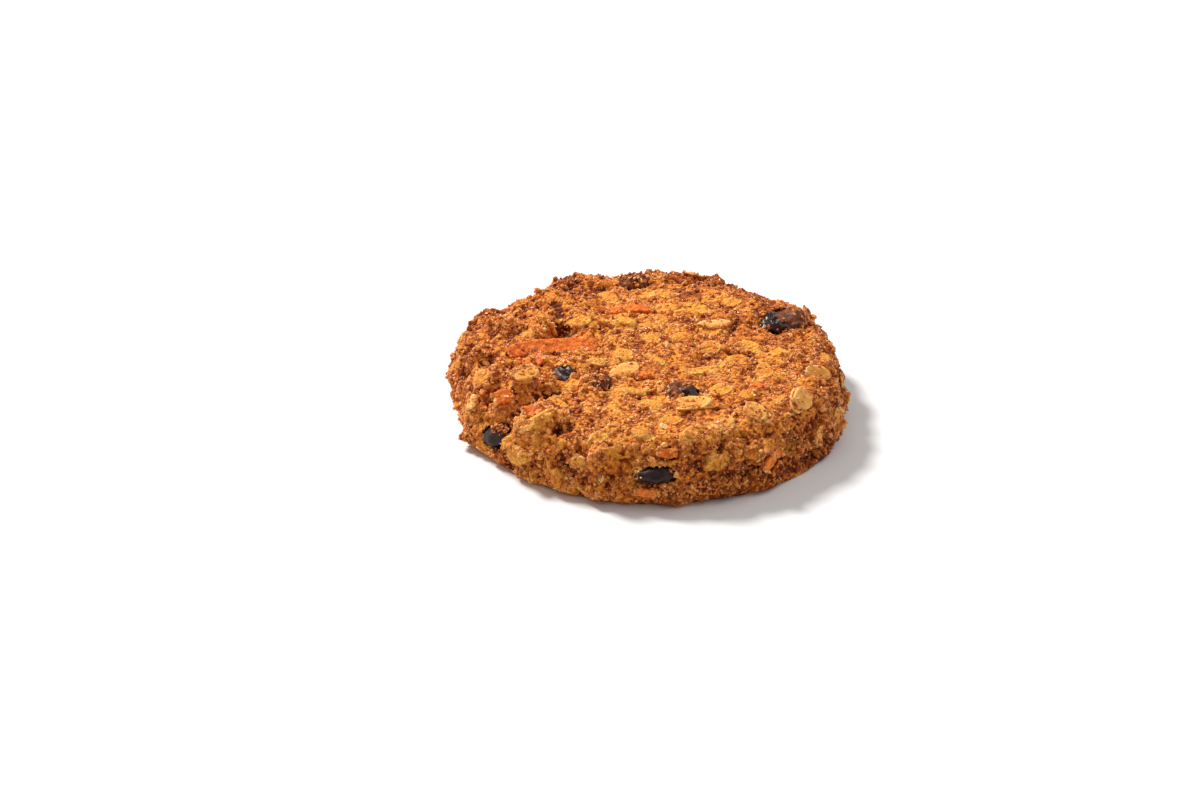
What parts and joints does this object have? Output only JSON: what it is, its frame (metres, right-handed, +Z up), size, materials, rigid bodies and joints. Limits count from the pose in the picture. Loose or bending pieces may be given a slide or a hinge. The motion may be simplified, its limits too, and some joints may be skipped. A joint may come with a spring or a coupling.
{
  "type": "carrot cake cookie",
  "caption": "Thick, rustic round oat cookie with a craggy browned top, plump raisins and orange carrot shreds; baked food to serve, stack or display",
  "frame": {"origin": "centre of the bounding box's bottom face, on the surface the cookie rests on", "axes": "+Z up through the cookie's thickness; the side that faces -Y is the pictured front, and +X is to the right in that view"},
  "size_m": [0.0988, 0.0997, 0.0205],
  "materials": {
    "baked_dough": "golden brown baked oat dough, rough and crumbly",
    "raisin_skin": "near-black wrinkled raisin skin, glossy where bare",
    "carrot": "moist orange carrot, softly shiny"
  },
  "bodies": {
    "root": {"cookie": "baked_dough", "raisin_1": "raisin_skin", "raisin_2": "raisin_skin", "raisin_3": "raisin_skin", "raisin_4": "raisin_skin", "raisin_5": "raisin_skin", "raisin_6": "raisin_skin", "raisin_7": "raisin_skin", "raisin_8": "raisin_skin", "carrot_shred_1": "carrot", "carrot_shred_2": "carrot", "carrot_shred_3": "carrot", "carrot_shred_4": "carrot", "carrot_shred_5": "carrot", "carrot_shred_6": "carrot", "carrot_shred_7": "carrot", "carrot_shred_8": "carrot", "carrot_shred_9": "carrot", "carrot_shred_10": "carrot", "carrot_shred_11": "carrot", "carrot_shred_12": "carrot"}
  },
  "joints": []
}
